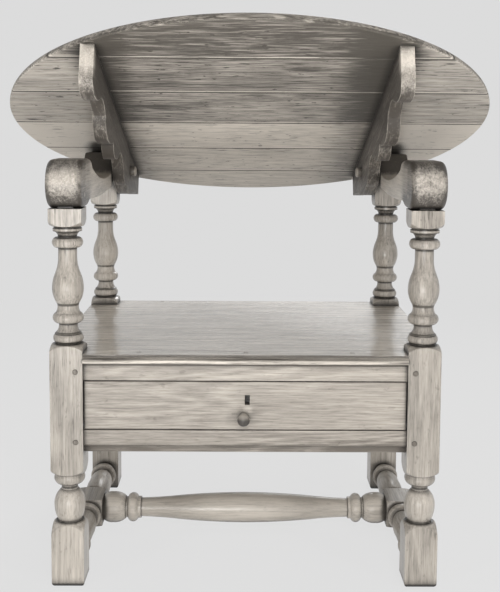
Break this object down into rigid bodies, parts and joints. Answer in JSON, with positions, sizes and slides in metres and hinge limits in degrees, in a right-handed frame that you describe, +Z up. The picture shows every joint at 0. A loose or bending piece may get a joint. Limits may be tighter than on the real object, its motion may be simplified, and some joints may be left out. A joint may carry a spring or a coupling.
{
  "type": "chair table",
  "caption": "Joined oak chair table: a turned frame with a plank seat and a drawer, whose round plank top tips up on pins through the arms to become the chair's back.",
  "frame": {"origin": "on the floor, at the centre of the four feet", "axes": "+Z up, +Y towards the back of the chair, +X to the right as seen from the front"},
  "size_m": [0.88, 0.8291, 0.9206],
  "materials": {
    "post_oak": "old waxed oak",
    "arm_oak": "old waxed oak",
    "rail_oak": "old waxed oak",
    "side_oak": "old waxed oak",
    "seat_oak": "old waxed oak",
    "stretcher_oak": "old waxed oak",
    "medial_oak": "old waxed oak",
    "top_oak": "old waxed oak",
    "batten_oak": "old waxed oak",
    "peg_oak": "old waxed oak",
    "drawer_oak": "old waxed oak",
    "lining_oak": "old waxed oak",
    "knob_wood": "dark turned wood, waxed",
    "iron": "dark forged iron"
  },
  "bodies": {
    "base": {"front_left_post": "post_oak", "front_right_post": "post_oak", "rear_left_post": "post_oak", "rear_right_post": "post_oak", "left_arm": "arm_oak", "right_arm": "arm_oak", "front_upper_rail": "rail_oak", "front_lower_rail": "rail_oak", "rear_rail": "rail_oak", "left_side_rail": "side_oak", "right_side_rail": "side_oak", "left_drawer_runner": "side_oak", "right_drawer_runner": "side_oak", "seat_front_board": "seat_oak", "seat_rear_board": "seat_oak", "left_stretcher": "stretcher_oak", "right_stretcher": "stretcher_oak", "medial_stretcher": "medial_oak", "frame_pegs": "peg_oak", "arm_pegs": "peg_oak", "seat_pegs": "peg_oak", "left_pivot_pin": "peg_oak", "right_pivot_pin": "peg_oak"},
    "top": {"top_board_1": "top_oak", "top_board_2": "top_oak", "top_board_3": "top_oak", "top_board_4": "top_oak", "top_board_5": "top_oak", "top_board_6": "top_oak", "left_batten": "batten_oak", "right_batten": "batten_oak", "top_pegs": "peg_oak"},
    "drawer": {"drawer_front": "drawer_oak", "drawer_left_side": "lining_oak", "drawer_right_side": "lining_oak", "drawer_back": "lining_oak", "drawer_bottom": "lining_oak", "drawer_knob": "knob_wood", "lock_case": "iron"},
    "lock_bolt": {"lock_bolt": "iron"}
  },
  "joints": [
    {"name": "top_tilt", "type": "hinge", "parent": "base", "child": "top", "pos_m": [0, 0.224, 0.66], "axis": [-1, 0, 0], "range_deg": [-19.8, 75.9]},
    {"name": "drawer_slide", "type": "slide", "parent": "base", "child": "drawer", "axis": [0, -1, 0], "range_m": [0, 0.25]},
    {"name": "lock_slide", "type": "slide", "parent": "drawer", "child": "lock_bolt", "axis": [0, 0, 1], "range_m": [0, 0.009]}
  ]
}
